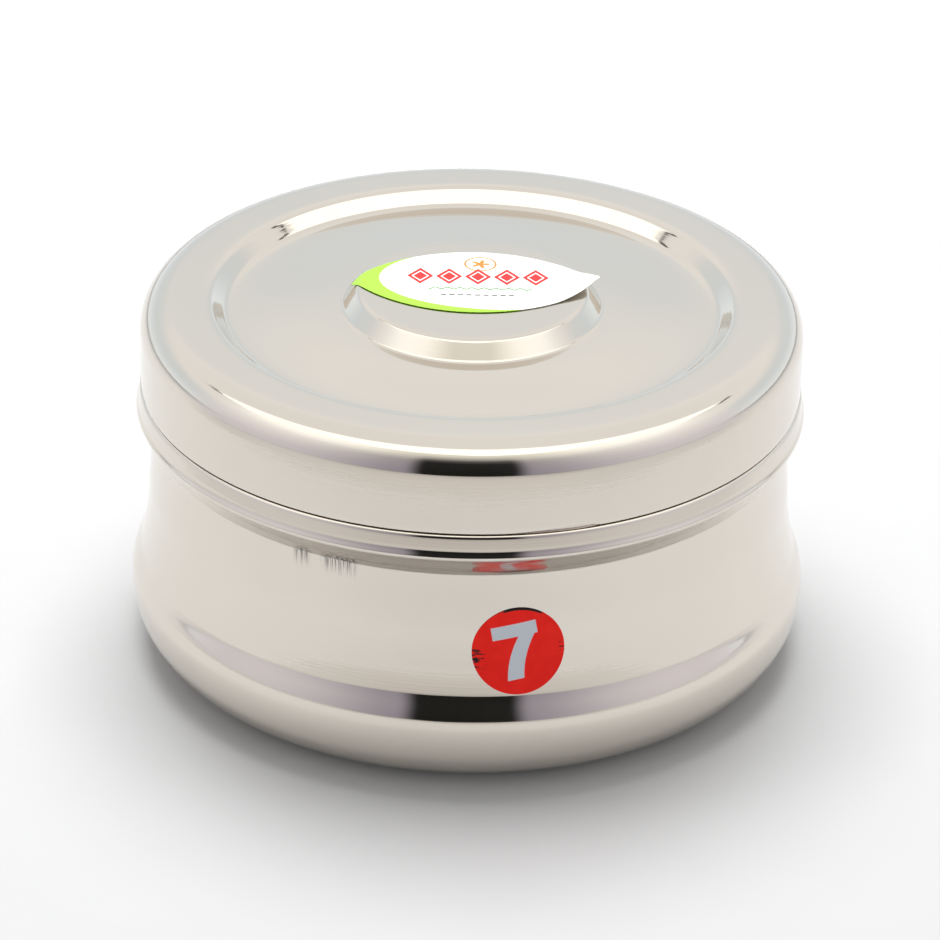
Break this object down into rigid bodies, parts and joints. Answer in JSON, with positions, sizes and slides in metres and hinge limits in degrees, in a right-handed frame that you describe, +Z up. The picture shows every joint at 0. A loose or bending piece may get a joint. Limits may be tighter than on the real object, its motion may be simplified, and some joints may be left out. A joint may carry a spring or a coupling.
{
  "type": "spice box",
  "caption": "Round waisted stainless steel spice box with a deep slip-on lid, a knobbed inner lid, loose round cups and a spoon.",
  "frame": {"origin": "centre of the flat face that the box stands on", "axes": "+Z up along the box's axis, -Y towards the front, where the size sticker is"},
  "size_m": [0.178, 0.178, 0.1007],
  "materials": {
    "box_steel": "mirror-polished stainless steel with faint handling marks",
    "cup_steel": "polished stainless steel, spun, with fine circular lines",
    "inner_steel": "polished stainless steel sheet",
    "screw_steel": "satin steel",
    "red_sticker": "glossy printed paper, scuffed at its edge",
    "white_label": "glossy printed paper"
  },
  "bodies": {
    "box": {"box_body": "box_steel", "size_sticker": "red_sticker"},
    "inner_lid": {"inner_lid": "inner_steel", "inner_lid_knob": "inner_steel", "knob_screw": "screw_steel"},
    "outer_lid": {"outer_lid": "box_steel", "lid_label": "white_label"},
    "spoon": {"spoon": "inner_steel"},
    "cup_center": {"cup_center": "cup_steel"},
    "cup_1": {"cup_1": "cup_steel"},
    "cup_2": {"cup_2": "cup_steel"},
    "cup_3": {"cup_3": "cup_steel"},
    "cup_4": {"cup_4": "cup_steel"},
    "cup_5": {"cup_5": "cup_steel"},
    "cup_6": {"cup_6": "cup_steel"}
  },
  "joints": [
    {"name": "inner_lid_lift", "type": "slide", "parent": "box", "child": "inner_lid", "axis": [0, 0, 1], "range_m": [0, 0.16]},
    {"name": "outer_lid_lift", "type": "slide", "parent": "inner_lid", "child": "outer_lid", "axis": [0, 0, 1], "range_m": [0, 0.08]},
    {"name": "spoon_lift", "type": "slide", "parent": "inner_lid", "child": "spoon", "axis": [0, 0, 1], "range_m": [0, 0.04]},
    {"name": "cup_center_lift", "type": "slide", "parent": "box", "child": "cup_center", "axis": [0, 0, 1], "range_m": [0, 0.096]},
    {"name": "cup_1_lift", "type": "slide", "parent": "box", "child": "cup_1", "axis": [0, 0, 1], "range_m": [0, 0.096]},
    {"name": "cup_2_lift", "type": "slide", "parent": "box", "child": "cup_2", "axis": [0, 0, 1], "range_m": [0, 0.096]},
    {"name": "cup_3_lift", "type": "slide", "parent": "box", "child": "cup_3", "axis": [0, 0, 1], "range_m": [0, 0.096]},
    {"name": "cup_4_lift", "type": "slide", "parent": "box", "child": "cup_4", "axis": [0, 0, 1], "range_m": [0, 0.096]},
    {"name": "cup_5_lift", "type": "slide", "parent": "box", "child": "cup_5", "axis": [0, 0, 1], "range_m": [0, 0.096]},
    {"name": "cup_6_lift", "type": "slide", "parent": "box", "child": "cup_6", "axis": [0, 0, 1], "range_m": [0, 0.096]}
  ],
  "couplings": [
    {"joint": "spoon_lift", "follows": "outer_lid_lift", "ratio": 0.5},
    {"joint": "cup_center_lift", "follows": "inner_lid_lift", "ratio": 0.6},
    {"joint": "cup_1_lift", "follows": "inner_lid_lift", "ratio": 0.6},
    {"joint": "cup_2_lift", "follows": "inner_lid_lift", "ratio": 0.6},
    {"joint": "cup_3_lift", "follows": "inner_lid_lift", "ratio": 0.6},
    {"joint": "cup_4_lift", "follows": "inner_lid_lift", "ratio": 0.6},
    {"joint": "cup_5_lift", "follows": "inner_lid_lift", "ratio": 0.6},
    {"joint": "cup_6_lift", "follows": "inner_lid_lift", "ratio": 0.6}
  ]
}
